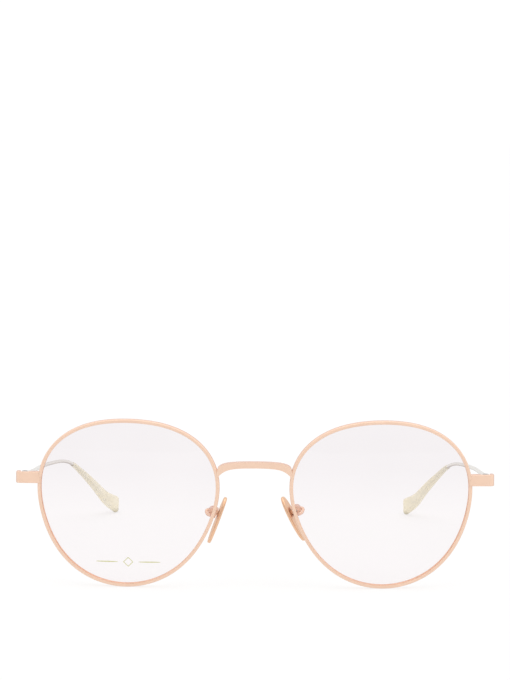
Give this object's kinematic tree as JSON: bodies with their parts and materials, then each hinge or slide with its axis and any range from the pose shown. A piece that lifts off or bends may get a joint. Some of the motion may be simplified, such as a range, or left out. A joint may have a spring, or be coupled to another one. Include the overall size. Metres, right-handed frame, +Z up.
{
  "type": "round wire eyeglasses",
  "caption": "Round wire-rim eyeglasses with clear lenses, arched bridge, folding wire temples with moulded tips, and rocking metal nose pads.",
  "frame": {"origin": "on the table plane, midway between the two rims and below the bridge, with the glasses open and standing on both rims and both temple tips", "axes": "+X towards the wearer's left, +Y from the front back along the temples, +Z up from the table; the front leans 3 degrees forward over -Y"},
  "size_m": [0.1408, 0.1378, 0.0496],
  "materials": {
    "frame_lacquer": "satin peach lacquer",
    "lens_clear": "clear, polished",
    "temple_metal": "polished pale gold plating",
    "tip_plastic": "glossy translucent cream",
    "pad_metal": "polished rose gold plating",
    "screw_steel": "turned"
  },
  "bodies": {
    "front": {"bridge": "frame_lacquer", "left_rim": "frame_lacquer", "left_lens": "lens_clear", "left_end_piece": "frame_lacquer", "left_rim_lock_upper": "frame_lacquer", "left_rim_lock_lower": "frame_lacquer", "left_rim_lock_screw": "screw_steel", "left_hinge_front": "frame_lacquer", "left_hinge_screw": "screw_steel", "left_pad_arm": "frame_lacquer", "left_pad_box": "frame_lacquer", "left_pad_screw": "screw_steel", "right_rim": "frame_lacquer", "right_lens": "lens_clear", "right_end_piece": "frame_lacquer", "right_rim_lock_upper": "frame_lacquer", "right_rim_lock_lower": "frame_lacquer", "right_rim_lock_screw": "screw_steel", "right_hinge_front": "frame_lacquer", "right_hinge_screw": "screw_steel", "right_pad_arm": "frame_lacquer", "right_pad_box": "frame_lacquer", "right_pad_screw": "screw_steel"},
    "left_temple_body": {"left_hinge_temple": "temple_metal", "left_temple": "temple_metal", "left_temple_tip": "tip_plastic"},
    "right_temple_body": {"right_hinge_temple": "temple_metal", "right_temple": "temple_metal", "right_temple_tip": "tip_plastic"},
    "left_pad_body": {"left_nose_pad": "pad_metal"},
    "right_pad_body": {"right_nose_pad": "pad_metal"}
  },
  "joints": [
    {"name": "temple_fold_left", "type": "hinge", "parent": "front", "child": "left_temple_body", "pos_m": [0.0672, 0.00728, 0.03169], "axis": [0, -0.0523, 0.9986], "range_deg": [0, 82]},
    {"name": "temple_fold_right", "type": "hinge", "parent": "front", "child": "right_temple_body", "pos_m": [-0.0672, 0.00728, 0.03169], "axis": [0, 0.0523, -0.9986], "range_deg": [0, 80]},
    {"name": "nose_pad_rock_left", "type": "hinge", "parent": "front", "child": "left_pad_body", "pos_m": [0.01207, 0.00613, 0.02244], "axis": [0.0239, 0.9977, 0.063], "range_deg": [-6.5, 13.5]},
    {"name": "nose_pad_rock_right", "type": "hinge", "parent": "front", "child": "right_pad_body", "pos_m": [-0.01207, 0.00616, 0.02174], "axis": [0.0239, -0.9977, -0.063], "range_deg": [-13.5, 6.5]}
  ]
}
